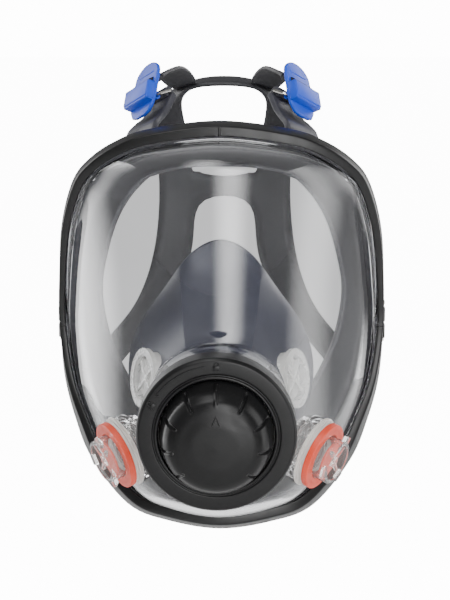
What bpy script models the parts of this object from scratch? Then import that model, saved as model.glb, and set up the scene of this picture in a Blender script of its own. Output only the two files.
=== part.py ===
"""Full face respirator: panoramic lens in a two-part frame, rubber face seal, nose cup with
check valves, locking exhalation cover, two bayonet cartridge ports and a four-strap harness.

Lengths are in millimetres and become metres when a mesh is made. The wearer looks along -Y,
+Z is up, and the origin is the middle of the face opening.
"""
import bmesh
import bpy
from math import cos, pi, radians, sin, sqrt, tan
from mathutils import Matrix, Vector

MM = 0.001
GAP = 0.3                # clearance between touching pieces
SIDES = {"left": -1, "right": 1}

# The rim loop: the frame's front outer corner on the right half, from top centre to bottom
# centre, as x, y, z, then how far the outer face flares and how wide the lips are.
RIM = [
    (0, -21, 107, 2.6, 5.4),
    (36, -19, 102.6, 2.6, 5.2),
    (53.5, -16, 96.5, 2.5, 5.0),
    (67.5, -11, 87.3, 2.4, 4.8),
    (77, -5.5, 75.5, 2.2, 4.6),
    (84.5, 3.5, 51.5, 1.8, 4.2),
    (87.8, 13, 22, 1.2, 3.7),
    (88.6, 18, -5, 1.0, 3.6),
    (84.5, 14.5, -33.5, 3.0, 3.7),
    (76.5, 6, -55, 4.6, 4.2),
    (66.5, -3, -74, 5.5, 4.6),
    (47, -16, -93.7, 6.0, 5.0),
    (27, -21.5, -100.3, 6.0, 5.2),
    (0, -24, -103.8, 6.0, 5.4),
]
RIM_STEPS = 20           # stations on each half of the rim
JOINT_Z = -4             # height of the split between the two frame parts

FRAME_DEPTH = 12
FRAME_WALL = 1.6
FRONT_LIP = 2.4
BACK_LIP = 2.6
LUG_AT = (87.9, 34.5)   # x and y of the screw at each side joint
LUG_WIDTH = 5.0

LENS_WALL = 2.5
LENS_NOSE = -61          # y of the lens on its centre line
LENS_ROLL = 13           # how far in the rolled edge reaches

# The edge of the face opening on the right half, from the forehead to the chin.
OPENING = [
    (0, 28, 86), (17, 28, 85.5), (36, 30, 79), (47.5, 32, 69), (57, 34, 54), (63.5, 36, 34),
    (66.8, 38, 12), (62.6, 36, -13), (53.5, 31, -33), (42, 25, -51), (27, 19, -66), (0, 15, -73),
]
SEAL_WALL = 2.6
SEAL_FLANGE = 7.6        # how far behind the frame's front the seal's flange sits
SEAL_INSET = 0.9         # from the frame's back lip in to the seal's neck

# The exhalation unit turns about this axis, which points forward and a little down.
VALVE_AT = Vector((0, -97, -35.5))
VALVE_TILT = radians(4.5)
NECK_RADIUS = 35
NECK_WALL = 2.6
COVER_RADIUS = 38.7
KNOB_RADIUS = 27.5
KNOB_HEIGHT = 17
NOTCHES = 9
NOTCH_STEP = radians(33)

# Cartridge ports: the middle of each gasket's front face, and the way it faces, right side.
PORT_AT = Vector((55, -35, -63))
PORT_AXIS = Vector((0.83, -0.47, -0.31))
GASKET_RADIUS = 18
BAYONET_RADIUS = 11.8
PORT_LUGS = 3
BOSS_DEPTH = 15          # from the gasket's face to the inner face of the boss

# Check valves in the cheeks of the nose cup, right side.
CHECK_AT = Vector((39.5, -30.2, -22))
CHECK_AXIS = Vector((0.86, -0.42, 0.12))
CHECK_RADIUS = 15.5

# Buckles on the right side: pivot, the way the tongue points, and the way the face looks.
BUCKLES = {
    "upper": (Vector((40.5, 46, 117.5)), Vector((-0.13, 0.5, 0.86)), Vector((0.8, -0.45, 0.38))),
    "lower": (Vector((77, 60, -42)), Vector((-0.16, 0.97, 0.1)), Vector((0.97, 0.15, -0.1))),
}
STRAP_WIDTH = 17
STRAP_THICK = 2.2
WIRE_RADIUS = 0.9
WIRE_HALF = 10.4         # half the length of a wire loop
BEAD_SHIFT = (5.4, -7.4)  # from a buckle's pivot to the bead in the ear: along, out


# ---------------------------------------------------------------- scene and materials
def clear_scene():
    for thing in list(bpy.data.objects):
        bpy.data.objects.remove(thing)


def new_collection(name):
    group = bpy.data.collections.new(name)
    bpy.context.scene.collection.children.link(group)
    return group


def make_material(name, colour, roughness, metallic=0.0):
    material = bpy.data.materials.new(name)
    material.use_nodes = True
    shader = material.node_tree.nodes["Principled BSDF"]
    shader.inputs["Base Color"].default_value = (*colour, 1)
    shader.inputs["Roughness"].default_value = roughness
    shader.inputs["Metallic"].default_value = metallic
    return material


clear_scene()
PARTS = new_collection("full_face_respirator")
CUTTERS = new_collection("cutters")
LOOKS = {
    "frame": make_material("frame_black", (0.012, 0.012, 0.012), 0.5),
    "cover": make_material("cover_black", (0.02, 0.02, 0.02), 0.45),
    "lens": make_material("lens_clear", (0.85, 0.87, 0.9), 0.05),
    "seal": make_material("seal_rubber", (0.14, 0.14, 0.16), 0.6),
    "cup": make_material("nose_cup_rubber", (0.08, 0.085, 0.12), 0.4),
    "harness": make_material("harness_rubber", (0.06, 0.06, 0.06), 0.65),
    "blue": make_material("buckle_blue", (0.06, 0.16, 0.6), 0.3),
    "coral": make_material("gasket_coral", (0.85, 0.2, 0.14), 0.5),
    "clear": make_material("clear_plastic", (0.8, 0.8, 0.8), 0.15),
    "valve": make_material("valve_silicone", (0.75, 0.75, 0.7), 0.4),
    "steel": make_material("steel", (0.6, 0.6, 0.58), 0.25, 1.0),
}


# ---------------------------------------------------------------- modelling helpers
def link(thing, look=None):
    for group in list(thing.users_collection):
        group.objects.unlink(thing)
    if look is None:
        CUTTERS.objects.link(thing)
        thing.hide_render = True
        thing.display_type = "WIRE"
    else:
        PARTS.objects.link(thing)
        thing.data.materials.clear()
        thing.data.materials.append(LOOKS[look])
    return thing


def mesh_object(name, points, faces, look=None):
    """A mesh from points in millimetres, with its normals made consistent."""
    work = bmesh.new()
    corners = [work.verts.new(Vector(p) * MM) for p in points]
    for face in faces:
        work.faces.new([corners[i] for i in face])
    bmesh.ops.recalc_face_normals(work, faces=work.faces)
    mesh = bpy.data.meshes.new(name)
    work.to_mesh(mesh)
    work.free()
    return link(bpy.data.objects.new(name, mesh), look)


def loft(name, rows, look=None, closed_rows=True, closed_path=False, capped=False):
    """Quads between rows that hold the same number of points."""
    count = len(rows[0])
    points = [p for row in rows for p in row]
    faces = []
    for i in range(len(rows) if closed_path else len(rows) - 1):
        here, after = i * count, (i + 1) % len(rows) * count
        for j in range(count if closed_rows else count - 1):
            k = (j + 1) % count
            faces.append((here + j, here + k, after + k, after + j))
    if capped:
        faces.append(tuple(range(count)))
        faces.append(tuple(range(len(points) - count, len(points))))
    return mesh_object(name, points, faces, look)


def frame_matrix(at, axis, up=Vector((0, 0, 1))):
    """Local Z along the axis, local Y as near to up as it can be."""
    z = axis.normalized()
    y = (up - z * up.dot(z)).normalized()
    x = y.cross(z)
    matrix = Matrix((x, y, z)).transposed().to_4x4()
    matrix.translation = Vector(at) * MM
    return matrix


def turned(name, profile, matrix, look=None, closed=True, steps=32):
    """A profile of radius and height, in millimetres, turned about local Z."""
    mesh = bpy.data.meshes.new(name)
    points = [Vector((r, 0, z)) * MM for r, z in profile]
    edges = [(i, i + 1) for i in range(len(points) - 1)]
    if closed:
        edges.append((len(points) - 1, 0))
    mesh.from_pydata(points, edges, [])
    thing = link(bpy.data.objects.new(name, mesh), look)
    thing.matrix_world = matrix
    screw = thing.modifiers.new("Turn", "SCREW")
    screw.steps = steps
    screw.render_steps = steps
    screw.use_merge_vertices = True
    screw.merge_threshold = 0.00001
    return thing


def ring_profile(outer, inner, low, high, edge=0.0):
    """A ring's section, down its outer side; edge is its outer chamfer."""
    if edge == 0:
        return [(outer, high), (outer, low), (inner, low), (inner, high)]
    return [
        (outer - edge, high), (outer, high - edge), (outer, low + edge), (outer - edge, low),
        (inner, low), (inner, high),
    ]


def disc_profile(radius, low, high):
    return [(0, high), (radius, high), (radius, low), (0, low)]


def cylinder_cutter(name, radius, low, high, matrix, steps=32):
    return turned(name, disc_profile(radius, low, high), matrix, closed=False, steps=steps)


def box(name, size, centre, matrix, look=None):
    """A cuboid in a local frame, its scale already in its mesh."""
    work = bmesh.new()
    bmesh.ops.create_cube(work, size=1.0)
    bmesh.ops.scale(work, vec=Vector(size) * MM, verts=work.verts)
    bmesh.ops.translate(work, vec=Vector(centre) * MM, verts=work.verts)
    mesh = bpy.data.meshes.new(name)
    work.to_mesh(mesh)
    work.free()
    thing = link(bpy.data.objects.new(name, mesh), look)
    thing.matrix_world = matrix
    return thing


def boolean(thing, other, operation):
    cut = thing.modifiers.new(operation.title(), "BOOLEAN")
    cut.operation = operation
    cut.solver = "EXACT"
    cut.object = other


def solidify(thing, thickness, offset):
    shell = thing.modifiers.new("Wall", "SOLIDIFY")
    shell.thickness = thickness * MM
    shell.offset = offset
    shell.use_even_offset = True


def wire_loop(name, points, radius, matrix, look):
    """A closed wire through points in a local frame."""
    curve = bpy.data.curves.new(name, "CURVE")
    curve.dimensions = "3D"
    spline = curve.splines.new("POLY")
    spline.points.add(len(points) - 1)
    for place, p in zip(spline.points, points):
        place.co = (*(Vector(p) * MM), 1)
    spline.use_cyclic_u = True
    curve.bevel_depth = radius * MM
    curve.bevel_resolution = 2
    thing = link(bpy.data.objects.new(name, curve), look)
    thing.matrix_world = matrix
    return thing


def smooth_shading(thing, angle=35):
    if thing.type == "MESH":
        thing.data.shade_smooth()
        thing.data.set_sharp_from_angle(angle=radians(angle))


# ---------------------------------------------------------------- curves through points
def spline_point(points, t):
    """Catmull-Rom through a list of equal tuples, t from 0 to 1."""
    last = len(points) - 1
    i = min(int(t * last), last - 1)
    f = t * last - i
    p1, p2 = points[i], points[i + 1]
    p0 = points[i - 1] if i > 0 else mirrored(p2)
    p3 = points[i + 2] if i + 2 <= last else mirrored(p1)
    return [
        0.5 * (2 * b + (c - a) * f + (2 * a - 5 * b + 4 * c - d) * f * f
               + (3 * b - a - 3 * c + d) * f * f * f)
        for a, b, c, d in zip(p0, p1, p2, p3)
    ]


def mirrored(point):
    return (-point[0], *point[1:])


def half_loop(points, steps):
    """Even stations on the right half, both centre-line points included."""
    return [spline_point(points, i / steps) for i in range(steps + 1)]


def outward(half, i):
    """The way out of the loop at a station, square to it in the XZ plane."""
    before = half[i - 1] if i > 0 else mirrored(half[1])
    after = half[i + 1] if i + 1 < len(half) else mirrored(half[-2])
    along = Vector((after[0] - before[0], 0, after[2] - before[2])).normalized()
    return Vector((-along.z, 0, along.x))


def rim_stations():
    half = half_loop(RIM, RIM_STEPS)
    stations = []
    for i, (x, y, z, flare, lip) in enumerate(half):
        stations.append((Vector((x, y, z)), outward(half, i), flare, lip))
    return stations


def on_left(vector):
    return Vector((-vector[0], vector[1], vector[2]))


STATIONS = rim_stations()


def at_station(station, out, back):
    """A point at a station, given how far out and how far behind the front face it is."""
    place, way = station[0], station[1]
    return place + way * out + Vector((0, back, 0))


def loop_rows(row_of):
    """Rows for every station of the whole loop, from a function of one right-hand station."""
    right = [row_of(s, i) for i, s in enumerate(STATIONS)]
    left = [[on_left(p) for p in row] for row in right[-2:0:-1]]
    return right + left


# ---------------------------------------------------------------- frame
def frame_section(station):
    """The U that grips the lens and the seal, open towards the middle."""
    flare, lip = station[2], station[3]
    slope = flare / FRAME_DEPTH
    inner_back = FRAME_DEPTH - BACK_LIP
    outline = [
        (-lip, 0), (-0.8, 0), (0, 0.8), (flare, FRAME_DEPTH), (-lip, FRAME_DEPTH),
        (-lip, inner_back), (slope * inner_back - FRAME_WALL, inner_back),
        (slope * FRONT_LIP - FRAME_WALL, FRONT_LIP), (-lip, FRONT_LIP),
    ]
    return [at_station(station, out, back) for out, back in outline]


def build_frame():
    """Two halves split at the sides, each with a screw lug at both ends."""
    right = [frame_section(s) for s in STATIONS]
    split = next(i for i, s in enumerate(STATIONS) if s[0].z < JOINT_Z)
    spans = {"upper": right[:split], "lower": right[split:][::-1]}
    for half, rows in spans.items():
        sign = 1 if half == "upper" else -1
        height = JOINT_Z + sign * GAP / 2
        rows = rows + [[
            above.lerp(below, (above.z - height) / (above.z - below.z))
            for above, below in zip(right[split - 1], right[split])
        ]]
        path = [[on_left(p) for p in row] for row in rows[:0:-1]] + rows
        frame = loft(f"frame_{half}", path, "frame", capped=True)
        for side, x in SIDES.items():
            low, high = sorted((JOINT_Z + sign * GAP / 2, JOINT_Z + sign * 9))
            lug = box(
                f"frame_{half}_lug_{side}", (LUG_WIDTH, 10.4, high - low),
                (x * LUG_AT[0], LUG_AT[1] - 1.2, (low + high) / 2), Matrix(),
            )
            hole = cylinder_cutter(f"frame_{half}_hole_{side}", 1.75, -14, 14, lug_matrix(x))
            boolean(frame, lug, "UNION")
            boolean(frame, hole, "DIFFERENCE")
        smooth_shading(frame)
    grip = box("frame_nub_shape", (1.2, 1.6, 5), (0, -21.2, 104.2), Matrix())
    boolean(bpy.data.objects["frame_upper"], grip, "UNION")


def lug_matrix(x):
    return frame_matrix((x * LUG_AT[0], LUG_AT[1], JOINT_Z), Vector((0, 0, 1)), Vector((0, 1, 0)))


def build_fasteners():
    """A machine screw from below and a nut on top at each side joint."""
    for side, x in SIDES.items():
        matrix = lug_matrix(x)
        screw = turned(
            f"frame_screw_{side}",
            [(0, 12), (1.2, 12), (1.5, 11.7), (1.5, -9.3),
             (2.4, -9.3), (2.4, -11), (1.9, -11.6), (0, -11.6)],
            matrix, "steel", closed=False, steps=20,
        )
        slot = box(f"frame_screw_slot_{side}", (0.7, 7, 1.4), (0, 0, -11.6), matrix)
        boolean(screw, slot, "DIFFERENCE")
        turned(
            f"frame_nut_{side}", ring_profile(2.7, 1.9, 9.3, 11.5), matrix, "steel", steps=6,
        )


# ---------------------------------------------------------------- lens
def lens_depth(x, z):
    """The panoramic face: y of the lens over a point, before it rolls back at its edge."""
    rise = max(z, 0) / 100
    fall = max(-z - 45, 0) / 45
    centre = LENS_NOSE + 15 * rise ** 2 + 10 * fall ** 2
    radius = 45 + 14 * rise ** 2 - 3 * fall
    return centre + x * x / (2 * radius)


HUB_STEPS = 5
HUB_RADIUS = NECK_RADIUS - 0.8


def build_lens():
    """Flange in the frame, rolled edge, panoramic face, neck tube and port bosses."""
    def row_of(station, i):
        lip = station[3]
        edge = at_station(station, -lip - 1.1, -0.6)
        row = [
            at_station(station, -FRAME_WALL - GAP, FRONT_LIP + GAP),
            at_station(station, -lip - GAP, FRONT_LIP + GAP),
            at_station(station, -lip - 0.9, 1.4),
            edge,
        ]
        turn = pi * i / RIM_STEPS
        hub = neck_point(turn)
        span = sqrt((hub.x - edge.x) ** 2 + (hub.z - edge.z) ** 2)
        for step in (1, 3, 7, LENS_ROLL):
            row.append(rolled(edge, hub, step / span))
        for k in range(1, HUB_STEPS + 1):
            row.append(rolled(edge, hub, LENS_ROLL / span + (1 - LENS_ROLL / span) * k / HUB_STEPS))
        return row

    def neck_point(turn):
        """Where the lens meets the middle of the neck tube's wall."""
        x, z = HUB_RADIUS * sin(turn), VALVE_AT.z
        for _ in range(3):
            ahead = lens_depth(x, z) - VALVE_AT.y
            z = VALVE_AT.z + ahead * tan(VALVE_TILT) + HUB_RADIUS * cos(turn)
        return Vector((x, 0, z))

    def rolled(edge, hub, part):
        x = edge.x + (hub.x - edge.x) * part
        z = edge.z + (hub.z - edge.z) * part
        reach = sqrt((x - edge.x) ** 2 + (z - edge.z) ** 2)
        roll = sqrt(1 - (1 - min(reach / LENS_ROLL, 1)) ** 2)
        return Vector((x, edge.y + (lens_depth(x, z) - edge.y) * roll, z))

    lens = loft("lens", loop_rows(row_of), "lens", closed_rows=False, closed_path=True)
    solidify(lens, LENS_WALL, -1)
    valve = valve_matrix()
    neck = turned(
        "lens_neck_shape", ring_profile(NECK_RADIUS, NECK_RADIUS - NECK_WALL, -52, -14.5), valve,
    )
    boolean(lens, neck, "UNION")
    for side, x in SIDES.items():
        matrix = port_matrix(x)
        boss = cylinder_cutter(
            f"lens_boss_shape_{side}", GASKET_RADIUS + 1, -BOSS_DEPTH, -3.5 - GAP, matrix,
        )
        bore = cylinder_cutter(f"lens_boss_bore_{side}", BAYONET_RADIUS + GAP, -30, 10, matrix)
        boolean(lens, boss, "UNION")
        boolean(lens, bore, "DIFFERENCE")
    smooth_shading(lens)


# ---------------------------------------------------------------- face seal
def build_seal():
    """Flange in the frame, wall round the face, rolled rim and inner lip, with four ears."""
    edge = half_loop(OPENING, RIM_STEPS)

    def row_of(station, i):
        lip = station[3]
        mouth = Vector(edge[i])
        hide = -lip - SEAL_INSET - SEAL_WALL / 2
        neck = at_station(station, hide - 0.4, FRAME_DEPTH + 1.5)
        crest = at_station(station, hide, 0)
        crest.y = mouth.y + 4
        wall = neck.lerp(crest, 0.5) + station[1] * 0.6
        roll = crest.lerp(mouth, 0.3)
        roll.y = mouth.y + 8
        inner = crest.lerp(mouth, 0.7)
        inner.y = mouth.y + 5
        return [
            at_station(station, -FRAME_WALL - 2 * GAP, SEAL_FLANGE),
            at_station(station, hide, SEAL_FLANGE + 0.2),
            neck, wall, crest, roll, inner, mouth,
        ]

    seal = loft("face_seal", loop_rows(row_of), "seal", closed_rows=False, closed_path=True)
    solidify(seal, SEAL_WALL, 0)
    for side, x in SIDES.items():
        for place, rows in EARS.items():
            ear = ribbon(f"face_seal_ear_{place}_{side}", rows, 3.4, x)
            boolean(seal, ear, "UNION")
            matrix = buckle_matrix(place, x)
            along, out = BEAD_SHIFT
            bead = cylinder_cutter(
                f"face_seal_bead_{place}_{side}", 3.1, -8, 8, matrix @ across(along, out), steps=16,
            )
            bore = cylinder_cutter(
                f"face_seal_bore_{place}_{side}", WIRE_RADIUS + GAP, -9, 9,
                matrix @ across(along, out), steps=16,
            )
            boolean(seal, bead, "UNION")
            boolean(seal, bore, "DIFFERENCE")
    smooth_shading(seal, 50)


# Each ear as pairs of edge points on the right side, from the seal's wall to the bead.
EARS = {
    "upper": [
        ((36, 16, 93.5), (52.5, 32, 83.5)), ((35, 20, 105), (52, 43, 96.5)), ((32.5, 30, 108.6), (49, 53, 101)),
        ((29.5, 36.5, 112.6), (43.5, 58.5, 105.7)), ((27, 41, 118), (39.5, 59, 112.3)),
        ((25.5, 44, 121), (36, 60, 115.5)),
    ],
    "lower": [
        ((79, 29, -33), (72.5, 24, -51)), ((78.5, 37, -33.5), (73.5, 33, -51.5)),
        ((76, 45, -34), (72.5, 42, -51)), ((72, 54, -35), (69.5, 53, -49)),
        ((69.7, 64.5, -35.5), (68.3, 64.5, -47.5)),
    ],
}


def ribbon(name, rows, thickness, x=1, look=None):
    """A band of rubber through pairs of edge points, mirrored when x is -1."""
    points = [[Vector((x * p[0], p[1], p[2])) for p in row] for row in rows]
    band = loft(name, points, look, closed_rows=False)
    solidify(band, thickness, 0)
    return band


def across(along, out):
    """From a buckle's own frame to an axis square to it: local Z along the pivot."""
    turn = Matrix.Rotation(radians(90), 4, "Y")
    return Matrix.Translation(Vector((0, along, out)) * MM) @ turn


# ---------------------------------------------------------------- nose cup and its valves
CUP_FACE = [
    (0, 8, 44), (16.5, 5, 37), (31, 7, 18), (43, 9, 0), (49, 10, -17), (49, 9, -36),
    (42, 6, -54), (26, 2, -67), (0, 0, -72),
]
CUP_STEPS = 16
CUP_FRONT = -38          # height of the cup's front ring on the valve axis
CUP_RADIUS = 31.8
CUP_WALL = 1.8


def build_nose_cup():
    """A lofted cup from a round front ring to the edge that lies on the face."""
    edge = half_loop(CUP_FACE, CUP_STEPS)
    valve = valve_matrix()
    rows = []
    for i in range(CUP_STEPS + 1):
        turn = pi * i / CUP_STEPS
        ring = [
            valve @ (Vector((r * sin(turn), r * cos(turn), h)) * MM) / MM
            for r, h in ((CUP_RADIUS, CUP_FRONT), (CUP_RADIUS, CUP_FRONT - 14))
        ]
        face = Vector(edge[i])
        shoulder = ring[1].lerp(face, 0.3) + Vector((face.x * 0.02, 0, 0))
        side = ring[1].lerp(face, 0.75) + Vector((face.x * 0.05, 0, 0))
        rolled = face + Vector((-face.x * 0.1, 4, 0))
        rows.append([ring[0], ring[1], shoulder, side, face, rolled])
    rows = rows + [[on_left(p) for p in row] for row in rows[-2:0:-1]]
    cup = loft("nose_cup", rows, "cup", closed_rows=False, closed_path=True)
    solidify(cup, CUP_WALL, -1)
    for side, x in SIDES.items():
        matrix = check_matrix(x)
        boss = cylinder_cutter(f"nose_cup_boss_{side}", CHECK_RADIUS + 1.5, -9, -2, matrix)
        bore = cylinder_cutter(f"nose_cup_bore_{side}", CHECK_RADIUS - 2 + GAP, -30, 10, matrix)
        recess = cylinder_cutter(f"nose_cup_recess_{side}", CHECK_RADIUS + 0.5, -2.5, 10, matrix)
        boolean(cup, boss, "UNION")
        boolean(cup, recess, "DIFFERENCE")
        boolean(cup, bore, "DIFFERENCE")
    smooth_shading(cup, 30)


def check_matrix(x):
    axis = Vector((x * CHECK_AXIS.x, CHECK_AXIS.y, CHECK_AXIS.z))
    return frame_matrix((x * CHECK_AT.x, CHECK_AT.y, CHECK_AT.z), axis)


def spoked_seat(name, radius, hole, low, high, matrix, look, flange=None):
    """A ring with a cross of spokes; flange is a wider lip's radius, low and high."""
    profile = ring_profile(radius, hole, low, high)
    if flange:
        wide, bottom, top = flange
        profile = [
            (wide, top), (wide, bottom), (radius, bottom), (radius, low), (hole, low), (hole, top),
        ]
        high = top
    seat = turned(name, profile, matrix, look, steps=28)
    for k, turn in enumerate((45, -45)):
        spoke = box(
            f"{name}_spoke_{k}", (2 * hole + 1, 1.8, 1.6), (0, 0, high - 2.2),
            matrix @ Matrix.Rotation(radians(turn), 4, "Z"),
        )
        boolean(seat, spoke, "UNION")
    return seat


def build_check_valves():
    """Seats clipped in the cup's cheeks, with a silicone flap on the inner side."""
    for side, x in SIDES.items():
        matrix = check_matrix(x)
        spoked_seat(
            f"nose_valve_seat_{side}", CHECK_RADIUS - 2, 11.5, -12, -1, matrix, "valve",
            flange=(CHECK_RADIUS, -2.5 + GAP, 0),
        )
        turned(
            f"nose_valve_flap_{side}", disc_profile(10.8, -4.4, -3.3), matrix, "valve",
            closed=False, steps=32,
        )


# ---------------------------------------------------------------- exhalation unit
def valve_matrix():
    return frame_matrix(VALVE_AT, Vector((0, -cos(VALVE_TILT), -sin(VALVE_TILT))))


def build_exhalation_unit():
    matrix = valve_matrix()
    turned(
        "neck_gasket", ring_profile(NECK_RADIUS + 1.2, NECK_RADIUS - 3.4, -14.2, -12.6), matrix, "coral",
        steps=40,
    )
    housing = turned(
        "valve_housing",
        [
            (NECK_RADIUS + 0.6, -9.6), (NECK_RADIUS + 0.6, -12.3), (NECK_RADIUS - 3.7, -12.3),
            (NECK_RADIUS - 3.7, -34), (29.6, -34), (29.6, -46), (26, -46), (26, -25), (29, -24),
            (29, -9.6),
        ],
        matrix, "cover", steps=40,
    )
    smooth_shading(housing)
    seat = spoked_seat("exhalation_valve_seat", 28.7, 22.5, -23.7, -18, matrix, "valve")
    smooth_shading(seat)
    turned(
        "exhalation_flap", [(0, -16.2), (24.5, -16.6), (24.5, -17.7), (0, -17.3)], matrix, "valve",
        closed=False, steps=40,
    )
    ring = turned(
        "valve_cover_ring",
        [
            (30, 1.0), (29.2, 1.0), (28.6, 0.4), (28.6, -8.8), (NECK_RADIUS + 1.3, -8.8),
            (NECK_RADIUS + 1.6, -13), (COVER_RADIUS - 0.6, -13), (COVER_RADIUS, -12.4),
            (COVER_RADIUS, -2.4),
            (COVER_RADIUS - 0.8, -0.8), (COVER_RADIUS - 2.2, 0), (31, 0),
        ][::-1],
        matrix, "cover", steps=44,
    )
    smooth_shading(ring, 45)
    build_knob(matrix)


def build_knob(matrix):
    """A hollow stepped knob with finger notches round its shoulder and a raised pointer."""
    top = KNOB_RADIUS - 8.5
    outside = [
        (0, KNOB_HEIGHT + 1.2), (top * 0.6, KNOB_HEIGHT + 0.8), (top, KNOB_HEIGHT - 0.4),
        (top + 1.8, KNOB_HEIGHT - 2), (KNOB_RADIUS - 2, 4), (KNOB_RADIUS, 1), (KNOB_RADIUS, -4),
    ]
    inside = [
        (KNOB_RADIUS - 2.6, -4), (KNOB_RADIUS - 3.6, 2), (top - 1.4, KNOB_HEIGHT - 3.4),
        (0, KNOB_HEIGHT - 2.4),
    ]
    knob = turned("lock_knob", outside + inside, matrix, "cover", closed=False, steps=40)
    for k in range(NOTCHES):
        turn = (k - (NOTCHES - 1) / 2) * NOTCH_STEP
        local = matrix @ Matrix.Rotation(turn, 4, "Z") @ Matrix.Translation(Vector((0, 23.4, 9.5)) * MM)
        notch = box(
            f"lock_knob_notch_{k}", (1.1, 12, 3.0), (0, 0, 0),
            local @ Matrix.Rotation(radians(-61), 4, "X"),
        )
        boolean(knob, notch, "DIFFERENCE" if k != (NOTCHES - 1) // 2 else "UNION")
    smooth_shading(knob)


# ---------------------------------------------------------------- cartridge ports
def port_matrix(x):
    axis = Vector((x * PORT_AXIS.x, PORT_AXIS.y, PORT_AXIS.z))
    return frame_matrix((x * PORT_AT.x, PORT_AT.y, PORT_AT.z), axis)


def build_ports():
    """Bayonet sleeve through each boss, gasket in front, nut behind, flap on a spoked seat."""
    for side, x in SIDES.items():
        matrix = port_matrix(x)
        gasket = turned(
            f"port_gasket_{side}", ring_profile(GASKET_RADIUS, BAYONET_RADIUS + 0.4, -3.5, 0, 0.5),
            matrix, "coral",
        )
        sleeve = spoked_seat(
            f"port_sleeve_{side}", BAYONET_RADIUS, 9.6, -BOSS_DEPTH - 5.5, 7.4, matrix, "clear",
        )
        for k in range(PORT_LUGS):
            turn = radians(100 + k * 360 / PORT_LUGS)
            lug = box(
                f"port_lug_{side}_{k}", (6.2, 4.2, 2), (0, BAYONET_RADIUS + 0.9, 6.4),
                matrix @ Matrix.Rotation(turn, 4, "Z"),
            )
            boolean(sleeve, lug, "UNION")
        turned(
            f"port_nut_{side}",
            ring_profile(15.5, BAYONET_RADIUS + 0.8, -BOSS_DEPTH - 4.3, -BOSS_DEPTH - GAP),
            matrix, "clear", steps=12,
        )
        flap = turned(
            f"port_flap_{side}", disc_profile(9.0, 2.2, 3.3), matrix, "coral", closed=False, steps=28,
        )
        for thing in (gasket, sleeve, flap):
            smooth_shading(thing)


# ---------------------------------------------------------------- harness and buckles
def buckle_matrix(place, x):
    """Local X along the pivot, local Y along the tongue, local Z out of the face."""
    at, tongue, out = BUCKLES[place]
    tongue = Vector((x * tongue.x, tongue.y, tongue.z)).normalized()
    out = Vector((x * out.x, out.y, out.z))
    out = (out - tongue * out.dot(tongue)).normalized()
    matrix = Matrix((tongue.cross(out), tongue, out)).transposed().to_4x4()
    matrix.translation = Vector((x * at.x, at.y, at.z)) * MM
    return matrix


TONGUE = 21              # how far the tongue reaches from the pivot
LIP = 12.5
BUCKLE_HALF = 12


def build_buckle(place, side, x):
    """A plate with a rounded tongue, a raised bridge over the strap and a pivot knuckle."""
    matrix = buckle_matrix(place, x)
    outline = [
        (-BUCKLE_HALF, 0), (-BUCKLE_HALF + 1, -8), (-8, -LIP + 1), (-4, -LIP), (4, -LIP), (8, -LIP + 1),
        (BUCKLE_HALF - 1, -8), (BUCKLE_HALF, 0), (BUCKLE_HALF, 10),
    ]
    reach = TONGUE - 12
    for k in range(1, 8):
        turn = pi * k / 8
        outline.append((BUCKLE_HALF * cos(turn) * 0.98, 12 + reach * sin(turn)))
    outline.append((-BUCKLE_HALF, 10))
    name = f"buckle_{place}_{side}"
    rows = [[Vector((px, py, h)) for px, py in outline] for h in (1.8, 3.8)]
    buckle = loft(name, rows, "blue", capped=True)
    buckle.matrix_world = matrix
    bridge = box(f"{name}_bridge", (24, 10, 5.2), (0, 0, 5.8), matrix)
    tunnel = box(f"{name}_tunnel", (STRAP_WIDTH + 1.4, 14, 3.2), (0, 0, 5.7), matrix)
    slot = box(f"{name}_slot", (STRAP_WIDTH + 1.4, 4.6, 12), (0, 8.6, 3), matrix)
    knuckle = cylinder_cutter(f"{name}_knuckle", 2.4, -8.4, 8.4, matrix @ across(0, 0), steps=16)
    bore = cylinder_cutter(f"{name}_bore", WIRE_RADIUS + GAP, -14, 14, matrix @ across(0, 0), steps=16)
    for shape, operation in (
        (bridge, "UNION"), (tunnel, "DIFFERENCE"), (slot, "DIFFERENCE"), (knuckle, "UNION"),
        (bore, "DIFFERENCE"),
    ):
        boolean(buckle, shape, operation)
    smooth_shading(buckle, 30)

    along, out = BEAD_SHIFT
    corner = 1.2
    near, far = -WIRE_HALF, WIRE_HALF
    path = [
        (near, corner * 0.6, -corner * 0.8), (near + corner, 0, 0), (far - corner, 0, 0),
        (far, corner * 0.6, -corner * 0.8), (far, along - corner * 0.6, out + corner * 0.8),
        (far - corner, along, out), (near + corner, along, out),
        (near, along - corner * 0.6, out + corner * 0.8),
    ]
    wire_loop(f"buckle_wire_{place}_{side}", path, WIRE_RADIUS, matrix, "steel")

    half = STRAP_WIDTH / 2
    line = [(12.2, -1.3), (10.4, -0.8), (9.0, 1.2), (8.3, 3.9), (6.6, 5.6), (-3.8, 5.7)]
    rows = [[Vector((-half, py, pz)), Vector((half, py, pz))] for py, pz in line]
    end = loft(f"strap_end_{place}_{side}", rows, "harness", closed_rows=False)
    end.matrix_world = matrix
    solidify(end, STRAP_THICK, 0)


def strap_rows(place):
    """The last rows of a harness strap, under the tongue, on the right side."""
    matrix = buckle_matrix(place, 1)
    half = STRAP_WIDTH / 2
    return [
        [matrix @ (Vector((px, py, pz)) * MM) / MM for px in (-half, half)]
        for py, pz in STRAP_LINES[place]
    ]


# The harness next to each buckle: along the tongue and out of the face, from the pivot.
STRAP_LINES = {"upper": [(12.8, -1.4)], "lower": [(26, -4.4), (19, -2.4), (12.8, -1.4)]}

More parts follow.
